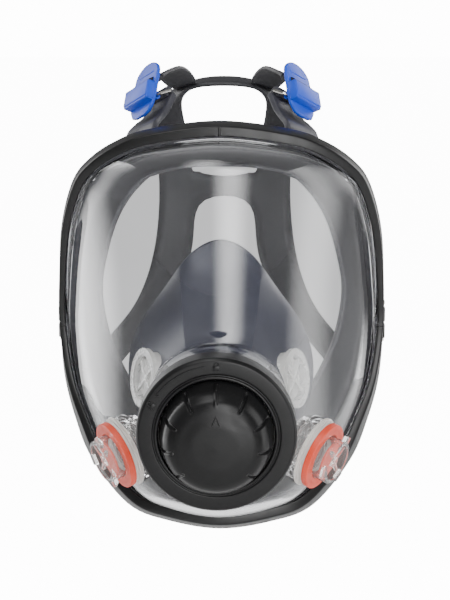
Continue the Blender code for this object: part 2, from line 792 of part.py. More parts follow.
# The arm from the crown to an upper buckle, as pairs of front and back edge points.
ARM = [
    ((28, 98.5, 114), (38.5, 106, 111)), ((24, 91.5, 123.5), (38, 102.5, 116.5)),
    ((21.5, 80, 133), (36, 88, 125)), ((23, 66.5, 135), (35, 77.5, 128.5)),
    ((29.8, 54.5, 132.8), (38.3, 67.5, 128.2)),
]

# The head net on the right half: pairs of inner and outer edge points, crown to cheek.
NET = [
    ((0, 88, 124.5), (0, 112, 127.5)),
    ((13, 88.5, 124), (12, 112, 127)),
    ((22, 91.5, 121.5), (26, 111, 123)),
    ((26, 99, 114.5), (39, 106, 114)),
    ((23.5, 115, 101.5), (43, 112, 97)),
    ((20.5, 124, 80), (41, 122, 76)),
    ((20, 127, 67.5), (40.5, 125, 66)),
    ((18.5, 129, 56.5), (40.5, 126.5, 54)),
    ((19.5, 129.5, 34), (42, 125, 32)),
    ((21.5, 128, 16), (46, 119.5, 11.5)),
    ((31, 122, -2), (52.8, 110, -6)),
    ((45, 110, -22), (60.5, 100, -17)),
    ((61, 97.5, -39), (70.5, 92, -27)),
]


BAR_ROW = 6              # the pair of net points that the cross bar starts from


def build_harness():
    """A moulded net: crown band, cross bar and two side straps, with an arm to each buckle."""
    right = [[Vector(a), Vector(b)] for a, b in NET]
    right += oriented(strap_rows("lower"), right[-1])
    points = [p for row in right for p in row]
    points += [on_left(p) for row in right[1:] for p in row]
    shift = len(right) * 2 - 2
    faces = []
    for i in range(len(right) - 1):
        faces.append((2 * i, 2 * i + 1, 2 * i + 3, 2 * i + 2))
        a, b = (0, 1) if i == 0 else (2 * i + shift, 2 * i + 1 + shift)
        faces.append((a, b, 2 * i + 3 + shift, 2 * i + 2 + shift))
    top, low = 2 * BAR_ROW, 2 * BAR_ROW + 2
    faces.append((top, low, low + shift, top + shift))
    harness = mesh_object("head_harness", points, faces, "harness")
    solidify(harness, STRAP_THICK, 0)
    for side, x in SIDES.items():
        rows = [[Vector(a), Vector(b)] for a, b in ARM]
        rows += oriented(strap_rows("upper"), rows[-1])
        arm = ribbon(f"head_harness_arm_{side}", rows, STRAP_THICK, x)
        boolean(harness, arm, "UNION")
    smooth_shading(harness, 50)


def oriented(rows, before):
    """Rows with their two edge points in the order that follows on from the row before."""
    first = rows[0]
    straight = (first[0] - before[0]).length + (first[1] - before[1]).length
    crossed = (first[1] - before[0]).length + (first[0] - before[1]).length
    return rows if straight <= crossed else [row[::-1] for row in rows]


build_frame()
build_fasteners()
build_lens()
build_seal()
build_nose_cup()
build_check_valves()
build_exhalation_unit()
build_ports()
build_harness()
for level in BUCKLES:
    for hand, way in SIDES.items():
        build_buckle(level, hand, way)
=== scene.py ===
# %% [markdown]
# # Full face respirator
# A clear panoramic visor held in a black two-part frame, a rubber seal that goes round the
# face, a nose cup with check valves, a round exhalation cover with a lock knob, two bayonet
# ports with coral gaskets, and a moulded rubber harness on four blue buckles.
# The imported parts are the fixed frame: every finer piece below sits where its part sits.

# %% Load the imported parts
from math import atan2, cos, exp, hypot, pi, radians, sin, sqrt, tan

import bmesh
import bpy
from mathutils import Matrix, Vector


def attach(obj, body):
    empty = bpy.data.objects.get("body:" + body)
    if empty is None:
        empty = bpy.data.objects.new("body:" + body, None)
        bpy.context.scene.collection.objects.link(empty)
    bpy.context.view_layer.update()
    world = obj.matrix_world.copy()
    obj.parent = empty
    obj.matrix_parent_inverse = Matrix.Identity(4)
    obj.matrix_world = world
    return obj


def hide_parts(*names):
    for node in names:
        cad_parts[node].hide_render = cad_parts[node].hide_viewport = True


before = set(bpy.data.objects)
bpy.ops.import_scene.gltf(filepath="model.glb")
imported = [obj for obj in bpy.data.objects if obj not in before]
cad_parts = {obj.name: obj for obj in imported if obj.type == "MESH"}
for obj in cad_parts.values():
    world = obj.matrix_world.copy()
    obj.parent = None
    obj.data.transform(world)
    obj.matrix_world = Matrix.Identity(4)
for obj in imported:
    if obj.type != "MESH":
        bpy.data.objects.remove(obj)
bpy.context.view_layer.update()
MM = 0.001
SIDES = {"left": -1, "right": 1}

# %% [markdown]
# ## Camera, light and floor
# The mask is seen from straight ahead and a little above. A long lens keeps its sides from
# spreading. Glass shows what it reflects, so tall soft boxes stand behind the camera: they
# draw the long upright highlights that tell the eye that the visor is curved.

# %% Camera
TARGET = Vector((0.0024, 0, 0.0135))
DISTANCE = 0.83
AZIMUTH, ELEVATION = radians(1), radians(10)
camera_data = bpy.data.cameras.new("camera")
camera_data.sensor_fit = "VERTICAL"
camera_data.sensor_height = 36
camera_data.lens = 93.4
camera = bpy.data.objects.new("camera", camera_data)
camera.location = TARGET + DISTANCE * Vector(
    (sin(AZIMUTH) * cos(ELEVATION), -cos(AZIMUTH) * cos(ELEVATION), sin(ELEVATION))
)
camera.rotation_euler = (TARGET - camera.location).to_track_quat("-Z", "Y").to_euler()
bpy.context.scene.collection.objects.link(camera)
bpy.context.scene.camera = camera
print("camera at", [round(v, 3) for v in camera.location])


# %% Lights and floor
def fade_sides(light, sharpness):
    """Dim a soft box towards its two upright edges, as its cloth front does."""
    light.use_nodes = True
    tree = light.node_tree
    spot = tree.nodes.new("ShaderNodeNewGeometry")
    split = tree.nodes.new("ShaderNodeSeparateXYZ")
    tree.links.new(spot.outputs["Parametric"], split.inputs["Vector"])
    steps = []
    for operation, value in (("MULTIPLY", pi), ("SINE", 0), ("POWER", sharpness)):
        step = tree.nodes.new("ShaderNodeMath")
        step.operation = operation
        step.inputs[1].default_value = value
        tree.links.new(steps[-1].outputs[0] if steps else split.outputs["X"], step.inputs[0])
        steps.append(step)
    tree.links.new(steps[-1].outputs[0], tree.nodes["Emission"].inputs["Strength"])


def soft_box(name, place, size, power, aim=Vector((0, 0, 0)), sharpness=1.5):
    light = bpy.data.lights.new(name, "AREA")
    light.shape = "RECTANGLE"
    light.size, light.size_y = size
    light.energy = power
    fade_sides(light, sharpness)
    lamp = bpy.data.objects.new(name, light)
    lamp.location = place
    lamp.rotation_euler = (aim - lamp.location).to_track_quat("-Z", "Y").to_euler()
    bpy.context.scene.collection.objects.link(lamp)


soft_box("key_box", Vector((0.3, -1.35, 0.3)), (1.25, 1.8), 62, Vector((0, 0, 0.1)), 2)
soft_box("right_wall", Vector((1.35, 0.0, 0.15)), (0.9, 1.6), 16)
soft_box("left_rim", Vector((-1.2, 0.75, 0.15)), (1.3, 1.6), 40)
soft_box("right_rim", Vector((1.0, 1.15, 0.15)), (0.6, 1.6), 22)
soft_box("top_box", Vector((-0.3, -0.5, 1.4)), (1.2, 0.8), 16)


def seen_strength(tree, direct, through, other):
    """A strength for what the eye sees, what it sees through glass, and all other light."""
    ray = tree.nodes.new("ShaderNodeLightPath")
    base = other
    for name, value in (("Is Camera Ray", direct), ("Is Transmission Ray", through)):
        step = tree.nodes.new("ShaderNodeMath")
        step.operation = "MULTIPLY_ADD"
        tree.links.new(ray.outputs[name], step.inputs[0])
        step.inputs[1].default_value = value - other
        if isinstance(base, float):
            step.inputs[2].default_value = base
        else:
            tree.links.new(base, step.inputs[2])
        base = step.outputs[0]
    return base


world = bpy.data.worlds.new("studio")
world.use_nodes = True
backdrop = world.node_tree.nodes["Background"]
backdrop.inputs["Color"].default_value = (1, 1, 1, 1)
world.node_tree.links.new(
    seen_strength(world.node_tree, 14.0, 1.0, 0.25), backdrop.inputs["Strength"]
)
bpy.context.scene.world = world

FLOOR_SIZE, FLOOR_LEVEL = 30, -0.45
floor_mesh = bpy.data.meshes.new("floor")
shape = bmesh.new()
bmesh.ops.create_grid(
    shape, x_segments=1, y_segments=1, size=FLOOR_SIZE, matrix=Matrix.Translation((0, 0, FLOOR_LEVEL))
)
shape.to_mesh(floor_mesh)
shape.free()
floor = bpy.data.objects.new("floor", floor_mesh)
bpy.context.scene.collection.objects.link(floor)
floor_look = bpy.data.materials.new("pale_floor")
floor_look.use_nodes = True
floor_shader = floor_look.node_tree.nodes["Principled BSDF"]
floor_shader.inputs["Base Color"].default_value = (0.9, 0.9, 0.9, 1)
floor_shader.inputs["Roughness"].default_value = 0.9
floor_shader.inputs["Emission Color"].default_value = (1, 1, 1, 1)
floor_look.node_tree.links.new(
    seen_strength(floor_look.node_tree, 13.0, 0.6, 0.0), floor_shader.inputs["Emission Strength"]
)
floor_mesh.materials.append(floor_look)
print("lights:", len(bpy.data.lights))

# %% [markdown]
# ## Finishes
# No moulded part is one flat colour. Nylon has a fine spark-eroded grain, silicone is
# cloudy, and rubber carries a dull bloom with a few rubbed spots. One node group makes the
# broad cloud, the fine grain and the rubbed spots, and each finish takes what it needs.


# %% Shared surface group
def add_link(tree, output, socket):
    tree.links.new(output, socket)
    return socket


def moulded_surface_group():
    group = bpy.data.node_groups.new("moulded_surface", "ShaderNodeTree")
    for name in ("Cloud Scale", "Grain Scale", "Grain Depth"):
        group.interface.new_socket(name, in_out="INPUT", socket_type="NodeSocketFloat")
    group.interface.new_socket("Cloud", in_out="OUTPUT", socket_type="NodeSocketFloat")
    group.interface.new_socket("Rub", in_out="OUTPUT", socket_type="NodeSocketFloat")
    group.interface.new_socket("Normal", in_out="OUTPUT", socket_type="NodeSocketVector")
    nodes = group.nodes
    inside, outside = nodes.new("NodeGroupInput"), nodes.new("NodeGroupOutput")
    place = nodes.new("ShaderNodeTexCoord")
    cloud = nodes.new("ShaderNodeTexNoise")
    cloud.inputs["Detail"].default_value = 4
    grain = nodes.new("ShaderNodeTexNoise")
    grain.inputs["Detail"].default_value = 2
    rub = nodes.new("ShaderNodeTexNoise")
    rub.inputs["Detail"].default_value = 6
    rub.inputs["Distortion"].default_value = 1.2
    edge = nodes.new("ShaderNodeMapRange")
    edge.inputs["From Min"].default_value = 0.52
    edge.inputs["From Max"].default_value = 0.74
    bump = nodes.new("ShaderNodeBump")
    bump.inputs["Distance"].default_value = 0.0001
    for noise, scale in ((cloud, "Cloud Scale"), (grain, "Grain Scale"), (rub, "Cloud Scale")):
        add_link(group, place.outputs["Object"], noise.inputs["Vector"])
        add_link(group, inside.outputs[scale], noise.inputs["Scale"])
    add_link(group, rub.outputs["Fac"], edge.inputs["Value"])
    add_link(group, grain.outputs["Fac"], bump.inputs["Height"])
    add_link(group, inside.outputs["Grain Depth"], bump.inputs["Strength"])
    add_link(group, cloud.outputs["Fac"], outside.inputs["Cloud"])
    add_link(group, edge.outputs["Result"], outside.inputs["Rub"])
    add_link(group, bump.outputs["Normal"], outside.inputs["Normal"])
    return group


MOULDED = moulded_surface_group()
print("group sockets:", [socket.name for socket in MOULDED.interface.items_tree])


# %% One maker for the opaque finishes
def finish(name, dark, light, smooth, dull, cloud=60, grain=2500, depth=0.15, **constants):
    """A material between two colours and two roughnesses; constants go on the shader itself."""
    material = bpy.data.materials.new(name)
    material.use_nodes = True
    tree = material.node_tree
    shader = tree.nodes["Principled BSDF"]
    surface = tree.nodes.new("ShaderNodeGroup")
    surface.node_tree = MOULDED
    surface.inputs["Cloud Scale"].default_value = cloud
    surface.inputs["Grain Scale"].default_value = grain
    surface.inputs["Grain Depth"].default_value = depth
    colour = tree.nodes.new("ShaderNodeMix")
    colour.data_type = "RGBA"
    colour.inputs["A"].default_value = (*dark, 1)
    colour.inputs["B"].default_value = (*light, 1)
    gloss = tree.nodes.new("ShaderNodeMapRange")
    gloss.inputs["To Min"].default_value = smooth
    gloss.inputs["To Max"].default_value = dull
    add_link(tree, surface.outputs["Cloud"], colour.inputs["Factor"])
    add_link(tree, surface.outputs["Rub"], gloss.inputs["Value"])
    add_link(tree, colour.outputs["Result"], shader.inputs["Base Color"])
    add_link(tree, gloss.outputs["Result"], shader.inputs["Roughness"])
    add_link(tree, surface.outputs["Normal"], shader.inputs["Normal"])
    for socket, value in constants.items():
        shader.inputs[socket.replace("_", " ")].default_value = value
    return material


NYLON = finish(
    "frame_nylon", (0.005, 0.005, 0.005), (0.012, 0.012, 0.0125), 0.3, 0.44, grain=3500,
    Specular_IOR_Level=0.32,
)
COVER = finish(
    "cover_nylon", (0.004, 0.004, 0.004), (0.009, 0.009, 0.0095), 0.28, 0.42, grain=4200,
    Specular_IOR_Level=0.22,
)
SEAL = finish("seal_rubber", (0.055, 0.055, 0.062), (0.085, 0.085, 0.095), 0.48, 0.66, cloud=35)
# The upper ears take the seal's rubber made darker: painted shade for the shadow under the buckles.
EAR_PAINTED_SHADE = finish(
    "ear_rubber_painted_shade", (0.03, 0.03, 0.038), (0.055, 0.055, 0.066), 0.5, 0.66, cloud=45,
    Specular_IOR_Level=0.35,
)
CUP = finish(
    "nose_cup_rubber", (0.018, 0.02, 0.036), (0.035, 0.038, 0.062), 0.34, 0.5, cloud=30, depth=0.03
)
STRAP = finish(
    "harness_rubber", (0.012, 0.012, 0.015), (0.022, 0.022, 0.027), 0.52, 0.7, cloud=50, depth=0.02
)
BLUE = finish(
    "buckle_blue", (0.012, 0.058, 0.52), (0.018, 0.08, 0.62), 0.4, 0.5, grain=1800, depth=0.04,
    Specular_IOR_Level=0.28,
)
CORAL = finish("gasket_coral", (0.6, 0.045, 0.018), (0.78, 0.085, 0.04), 0.45, 0.62, cloud=90)
STEEL = finish(
    "wire_steel", (0.5, 0.49, 0.46), (0.66, 0.65, 0.62), 0.18, 0.34, grain=6000, depth=0.1, Metallic=1.0
)
print("opaque finishes:", len(bpy.data.materials))


# %% [markdown]
# Clear parts come next. The visor is polished polycarbonate: nearly all the light goes
# through, with a little haze. Glass stops light rays on their way to what is behind it, so
# light rays are let straight through, and only the view is bent and mirrored.


# %% Clear finishes
def clear_finish(name, colour, smooth, dull, ior, **constants):
    material = finish(name, colour, tuple(0.5 + c / 2 for c in colour), smooth, dull, grain=700, depth=0.002)
    tree = material.node_tree
    shader = tree.nodes["Principled BSDF"]
    shader.inputs["Transmission Weight"].default_value = 1.0
    shader.inputs["IOR"].default_value = ior
    for socket, value in constants.items():
        shader.inputs[socket.replace("_", " ")].default_value = value
    ray = tree.nodes.new("ShaderNodeLightPath")
    either = tree.nodes.new("ShaderNodeMath")
    either.operation = "MAXIMUM"
    through = tree.nodes.new("ShaderNodeBsdfTransparent")
    through.inputs["Color"].default_value = (0.9, 0.9, 0.9, 1)
    mix = tree.nodes.new("ShaderNodeMixShader")
    output = tree.nodes["Material Output"]
    add_link(tree, ray.outputs["Is Shadow Ray"], either.inputs[0])
    add_link(tree, ray.outputs["Is Diffuse Ray"], either.inputs[1])
    add_link(tree, either.outputs[0], mix.inputs["Fac"])
    add_link(tree, shader.outputs["BSDF"], mix.inputs[1])
    add_link(tree, through.outputs["BSDF"], mix.inputs[2])
    add_link(tree, mix.outputs["Shader"], output.inputs["Surface"])
    return material


VISOR = clear_finish("visor_polycarbonate", (0.9, 0.91, 0.93), 0.0, 0.03, 1.5)
CLEAR = clear_finish("bayonet_clear", (0.95, 0.94, 0.92), 0.04, 0.1, 1.2)
CLEAR.node_tree.nodes["Principled BSDF"].inputs["Transmission Weight"].default_value = 0.94
BOSS = clear_finish("boss_frosted", (0.9, 0.87, 0.8), 0.3, 0.42, 1.3)
BOSS.node_tree.nodes["Principled BSDF"].inputs["Transmission Weight"].default_value = 0.6
SILICONE = clear_finish("valve_silicone", (0.8, 0.79, 0.75), 0.25, 0.4, 1.42)
SILICONE.node_tree.nodes["Principled BSDF"].inputs["Transmission Weight"].default_value = 0.55
print("clear finishes:", VISOR.name, CLEAR.name, SILICONE.name)

# %% [markdown]
# ## Helpers
# Long formed pieces are made as one grid of faces that is laid along computed rows and then
# welded at its seam. Round pieces are a profile spun about an axis. Lengths are in
# millimetres and become metres as a mesh is finished.


# %% Mesh helpers
def place_mesh(name, mesh_data, material, body="facepiece", angle=32):
    """Turn a bmesh in metres into a smooth-shaded piece that rides on a body."""
    mesh = bpy.data.meshes.new(name)
    mesh_data.to_mesh(mesh)
    mesh_data.free()
    mesh.materials.append(material)
    mesh.shade_smooth()
    mesh.set_sharp_from_angle(angle=radians(angle))
    piece = bpy.data.objects.new(name, mesh)
    bpy.context.scene.collection.objects.link(piece)
    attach(piece, body)
    return piece


def laid_grid(rows, wrap_rows=False, wrap_path=False):
    """A welded grid with one vertex for each point of the rows."""
    if wrap_rows:
        rows = [row + row[:1] for row in rows]
    if wrap_path:
        rows = rows + rows[:1]
    work = bmesh.new()
    made = bmesh.ops.create_grid(work, x_segments=len(rows[0]) - 1, y_segments=len(rows) - 1, size=1)
    points = [p for row in rows for p in row]
    for vert, p in zip(made["verts"], points):
        vert.co = p * MM
    bmesh.ops.remove_doubles(work, verts=work.verts, dist=1e-6)
    bmesh.ops.recalc_face_normals(work, faces=work.faces)
    return work


def thicken(piece, thickness, offset=0):
    wall = piece.modifiers.new("Wall", "SOLIDIFY")
    wall.thickness = thickness * MM
    wall.offset = offset
    wall.use_even_offset = True
    return piece


def subdivide(piece, levels=2):
    smooth = piece.modifiers.new("Smooth", "SUBSURF")
    smooth.levels = levels
    smooth.render_levels = levels
    return piece


def rounded(profile, radius, closed=True, steps=4):
    """A polygon's points with each corner replaced by a short curve."""
    count = len(profile)
    result = []
    for i, corner in enumerate(profile):
        here = Vector(corner)
        if not closed and i in (0, count - 1):
            result.append(here)
            continue
        before, after = Vector(profile[i - 1]), Vector(profile[(i + 1) % count])
        cut_a = min(radius, 0.45 * (before - here).length)
        cut_b = min(radius, 0.45 * (after - here).length)
        a = here + (before - here).normalized() * cut_a
        b = here + (after - here).normalized() * cut_b
        for k in range(steps + 1):
            t = k / steps
            result.append(a * (1 - t) ** 2 + here * 2 * t * (1 - t) + b * t * t)
    return result


def axis_frame(at, axis, up=Vector((0, 0, 1))):
    z = axis.normalized()
    y = (up - z * up.dot(z)).normalized()
    matrix = Matrix((y.cross(z), y, z)).transposed().to_4x4()
    matrix.translation = Vector(at) * MM
    return matrix


def spun(profile, matrix, steps=96, closed=True):
    """A profile of radius and height spun once about the matrix's Z axis."""
    work = bmesh.new()
    verts = [work.verts.new(Vector((r, 0, h)) * MM) for r, h in profile]
    edges = [work.edges.new(pair) for pair in zip(verts, verts[1:])]
    if closed:
        edges.append(work.edges.new((verts[-1], verts[0])))
    bmesh.ops.spin(
        work, geom=verts + edges, cent=(0, 0, 0), axis=(0, 0, 1), angle=2 * pi, steps=steps,
        use_merge=True, use_duplicate=False,
    )
    bmesh.ops.remove_doubles(work, verts=work.verts, dist=1e-6)
    bmesh.ops.recalc_face_normals(work, faces=work.faces)
    bmesh.ops.transform(work, matrix=matrix, verts=work.verts)
    return work


def soft_block(size, centre, matrix, edge=0.3, segments=3):
    """A block with rounded edges, in a piece's own axes."""
    work = bmesh.new()
    bmesh.ops.create_cube(work, size=1)
    bmesh.ops.scale(work, vec=Vector(size) * MM, verts=work.verts)
    bmesh.ops.bevel(
        work, geom=work.edges[:], offset=edge * MM, segments=segments, profile=0.5,
        affect="EDGES", material=-1,
    )
    bmesh.ops.translate(work, vec=Vector(centre) * MM, verts=work.verts)
    bmesh.ops.transform(work, matrix=matrix, verts=work.verts)
    return work


def merged(*parts):
    """Several bmeshes in one, for a piece moulded in one shot."""
    whole = bmesh.new()
    for part in parts:
        holder = bpy.data.meshes.new("holder")
        part.to_mesh(holder)
        part.free()
        whole.from_mesh(holder)
        bpy.data.meshes.remove(holder)
    return whole


print("helpers ready")

# %% [markdown]
# ## The rim curve
# The visor, the frame and the seal all follow one loop. It is wide at the temples, comes
# forward over the brow and narrows to the chin. A few control points and a smooth
# interpolation give as many stations as a piece needs.

# %% Rim stations
RIM = [
    (0, -21, 107, 2.6, 5.4), (36, -19, 102.6, 2.6, 5.2), (53.5, -16, 96.5, 2.5, 5.0),
    (67.5, -11, 87.3, 2.4, 4.8), (77, -5.5, 75.5, 2.2, 4.6), (84.5, 3.5, 51.5, 1.8, 4.2),
    (87.8, 13, 22, 1.2, 3.7), (88.6, 18, -5, 1.0, 3.6), (84.5, 14.5, -33.5, 3.0, 3.7),
    (76.5, 6, -55, 4.6, 4.2), (66.5, -3, -74, 5.5, 4.6), (47, -16, -93.7, 6.0, 5.0),
    (27, -21.5, -100.3, 6.0, 5.2), (0, -24, -103.8, 6.0, 5.4),
]
RIM_STEPS = 90


def mirrored(point):
    return (-point[0], *point[1:])


def on_left(point):
    return Vector((-point[0], point[1], point[2]))


def curve_point(points, t):
    """A smooth curve through equal tuples on the right half, t from 0 to 1."""
    last = len(points) - 1
    i = min(int(t * last), last - 1)
    f = t * last - i
    p1, p2 = points[i], points[i + 1]
    p0 = points[i - 1] if i > 0 else mirrored(p2)
    p3 = points[i + 2] if i + 2 <= last else mirrored(p1)
    return [
        0.5 * (2 * b + (c - a) * f + (2 * a - 5 * b + 4 * c - d) * f * f
               + (3 * b - a - 3 * c + d) * f * f * f)
        for a, b, c, d in zip(p0, p1, p2, p3)
    ]


def half_curve(points, steps):
    return [curve_point(points, i / steps) for i in range(steps + 1)]


def outward(half, i):
    before = half[i - 1] if i > 0 else mirrored(half[1])
    after = half[i + 1] if i + 1 < len(half) else mirrored(half[-2])
    along = Vector((after[0] - before[0], 0, after[2] - before[2])).normalized()
    return Vector((-along.z, 0, along.x))


rim_half = half_curve(RIM, RIM_STEPS)
STATIONS = [
    (Vector(p[:3]), outward(rim_half, i), p[3], p[4]) for i, p in enumerate(rim_half)
]


def at_station(station, out, back):
    return station[0] + station[1] * out + Vector((0, back, 0))


def whole_loop(right):
    """Rows of the right half, then the same rows mirrored back to the top."""
    return right + [[on_left(p) for p in row] for row in right[-2:0:-1]]


print("stations round the rim:", 2 * RIM_STEPS)

# %% [markdown]
# ## Visor
# The visor is one injection-moulded shell. A flat flange sits in the frame, the edge rolls
# forward from it, and the middle bulges in one direction like a barrel, so the wearer sees
# to both sides. At its foot it runs into a round neck that carries the exhalation unit.

# %% Visor shell
FRONT_LIP, FRAME_WALL, GAP = 2.4, 1.6, 0.3
LENS_WALL, LENS_NOSE, LENS_ROLL = 2.5, -61, 13
VALVE_AT = Vector((0, -97, -35.5))
VALVE_TILT = radians(4.5)
NECK_RADIUS = 35
VALVE = axis_frame(VALVE_AT, Vector((0, -cos(VALVE_TILT), -sin(VALVE_TILT))))
HUB_RADIUS = NECK_RADIUS + 1.2
NECK_FILLET = ((0.8, 0.25), (1.1, 0.9), (1.2, 1.8))   # how far in and how far up, from face to neck
NECK_END = -14.5


def visor_depth(x, z):
    """How far forward the panoramic face stands over a point."""
    rise = max(z, 0) / 100
    fall = max(-z - 45, 0) / 45
    centre = LENS_NOSE + 15 * rise ** 2 + 10 * fall ** 2
    return centre + x * x / (2 * (45 + 14 * rise ** 2 - 3 * fall))


def hub_point(turn, radius=HUB_RADIUS):
    """Where the face meets the neck."""
    x, z = radius * sin(turn), VALVE_AT.z
    for _ in range(3):
        ahead = visor_depth(x, z) - VALVE_AT.y
        z = VALVE_AT.z + ahead * tan(VALVE_TILT) + radius * cos(turn)
    return Vector((x, visor_depth(x, z), z))


def visor_row(station, i):
    lip = station[3]
    edge = at_station(station, -lip - 1.1, -0.6)
    row = [
        at_station(station, -FRAME_WALL - GAP, FRONT_LIP + GAP),
        at_station(station, -lip - GAP, FRONT_LIP + GAP),
        at_station(station, -lip - 0.8, FRONT_LIP - 0.3),
        at_station(station, -lip - 1.0, 0.8),
        edge,
    ]
    turn = pi * i / RIM_STEPS
    hub = hub_point(turn)
    span = hypot(hub.x - edge.x, hub.z - edge.z)
    reaches = [LENS_ROLL * (k / 12) ** 2 for k in range(1, 13)]
    reaches += [LENS_ROLL + (span - LENS_ROLL) * k / 22 for k in range(1, 23)]
    for reach in reaches:
        part = reach / span
        x = edge.x + (hub.x - edge.x) * part
        z = edge.z + (hub.z - edge.z) * part
        roll = sqrt(max(0, 1 - (1 - min(reach / LENS_ROLL, 1)) ** 2))
        row.append(Vector((x, edge.y + (visor_depth(x, z) - edge.y) * roll, z)))
    foot = VALVE.inverted() @ (hub * MM) / MM
    for shrink, rise in NECK_FILLET:
        row.append(VALVE @ (Vector((0, 0, foot.z + rise)) * MM) / MM
                   + (VALVE.to_3x3() @ Vector((foot.x, foot.y, 0)) * (1 - shrink / HUB_RADIUS)))
    low = foot.z + NECK_FILLET[-1][1]
    for k in range(1, 7):
        height = low + (NECK_END - low) * k / 6
        row.append(VALVE @ (Vector((0, 0, height)) * MM) / MM
                   + (VALVE.to_3x3() @ Vector((foot.x, foot.y, 0)) * (NECK_RADIUS / HUB_RADIUS)))
    return row


visor_rows = whole_loop([visor_row(s, i) for i, s in enumerate(STATIONS)])
visor = place_mesh("visor", laid_grid(visor_rows, wrap_path=True), VISOR, angle=60)
thicken(visor, LENS_WALL, -1)
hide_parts("lens")
print("visor vertices:", len(visor.data.vertices))

# %% [markdown]
# ## Frame
# Two black half hoops hook over the visor's flange and the seal's, and a screw on each side
# pulls them together. One hoop is laid round the whole rim and then cut at the height of
# the joint, so both halves keep the same section.

# %% Frame halves
FRAME_DEPTH, BACK_LIP, JOINT_Z, JOINT_GAP = 12, 2.6, -4, 0.2
LUG_SIZE, LUG_AT, LUG_HEIGHT = (5.0, 10.4), (87.9, 33.3), 9


def frame_row(station):
    flare, lip = station[2], station[3]
    slope = flare / FRAME_DEPTH
    back = FRAME_DEPTH - BACK_LIP
    outline = [
        (-lip, 0), (0, 0), (flare, FRAME_DEPTH), (-lip, FRAME_DEPTH), (-lip, back),
        (slope * back - FRAME_WALL, back), (slope * FRONT_LIP - FRAME_WALL, FRONT_LIP), (-lip, FRONT_LIP),
    ]
    return [at_station(station, p[0], p[1]) for p in rounded(outline, 1.1)]


frame_rows = whole_loop([frame_row(s) for s in STATIONS])
for half, keep in (("upper", 1), ("lower", -1)):
    hoop = laid_grid(frame_rows, wrap_rows=True, wrap_path=True)
    bmesh.ops.recalc_face_normals(hoop, faces=hoop.faces)
    bmesh.ops.bisect_plane(
        hoop, geom=hoop.verts[:] + hoop.edges[:] + hoop.faces[:],
        plane_co=(0, 0, (JOINT_Z + keep * JOINT_GAP) * MM), plane_no=(0, 0, keep), clear_inner=True,
    )
    open_edges = [e for e in hoop.edges if e.is_boundary]
    bmesh.ops.holes_fill(hoop, edges=open_edges, sides=0)
    parts = [hoop]
    for x in SIDES.values():
        low, high = sorted((JOINT_Z + keep * JOINT_GAP, JOINT_Z + keep * LUG_HEIGHT))
        parts.append(soft_block(
            (*LUG_SIZE, high - low), (x * LUG_AT[0], LUG_AT[1], (low + high) / 2), Matrix(), edge=1.0,
        ))
    if half == "upper":
        parts.append(soft_block((1.2, 1.6, 5), (0, -21.2, 104.2), Matrix(), edge=0.4))
    hoop_piece = place_mesh(f"frame_hoop_{half}", merged(*parts), NYLON, angle=40)
    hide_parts(f"frame_{half}")
    print(hoop_piece.name, "faces:", len(hoop_piece.data.polygons))

# %% [markdown]
# ## Face seal
# Dark rubber behind the visor: a flange in the frame, a wall back to the face and a lip
# that folds inwards to lie on the skin. Four ears stand out from its rim, and each holds a
# steel wire loop for a buckle.

# %% Seal body
SEAL_WALL, SEAL_FLANGE, SEAL_INSET = 2.6, 7.6, 0.9
OPENING = [
    (0, 28, 86), (17, 28, 85.5), (36, 30, 79), (47.5, 32, 69), (57, 34, 54), (63.5, 36, 34),
    (66.8, 38, 12), (62.6, 36, -13), (53.5, 31, -33), (42, 25, -51), (27, 19, -66), (0, 15, -73),
]
mouth_curve = half_curve(OPENING, RIM_STEPS)


def seal_row(station, i):
    hide = -station[3] - SEAL_INSET - SEAL_WALL / 2
    mouth = Vector(mouth_curve[i])
    neck = at_station(station, hide - 0.4, FRAME_DEPTH + 1.5)
    crest = at_station(station, hide, 0)
    crest.y = mouth.y + 4
    wall = neck.lerp(crest, 0.5) + station[1] * 0.6
    roll = crest.lerp(mouth, 0.3)
    roll.y = mouth.y + 8
    inner = crest.lerp(mouth, 0.7)
    inner.y = mouth.y + 5
    flange = [
        at_station(station, -FRAME_WALL - 2 * GAP, SEAL_FLANGE),
        at_station(station, hide, SEAL_FLANGE + 0.2),
    ]
    bend = [Vector(p) for p in (neck, wall, crest, roll, inner, mouth)]
    return flange + rounded_path(bend)


def rounded_path(points, steps=4):
    """An open path made smooth through its points."""
    result = []
    last = len(points) - 1
    for i in range(last):
        p1, p2 = points[i], points[i + 1]
        p0 = points[i - 1] if i > 0 else p1 + (p1 - p2)
        p3 = points[i + 2] if i + 2 <= last else p2 + (p2 - p1)
        for k in range(steps):
            f = k / steps
            result.append(0.5 * (2 * p1 + (p2 - p0) * f + (2 * p0 - 5 * p1 + 4 * p2 - p3) * f * f
                                 + (3 * p1 - p0 - 3 * p2 + p3) * f * f * f))
    return result + [points[-1]]


seal_rows = whole_loop([seal_row(s, i) for i, s in enumerate(STATIONS)])
seal = place_mesh("seal_skirt", laid_grid(seal_rows, wrap_path=True), SEAL, angle=50)
thicken(seal, SEAL_WALL, 0)
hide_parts("face_seal")
print("seal vertices:", len(seal.data.vertices))

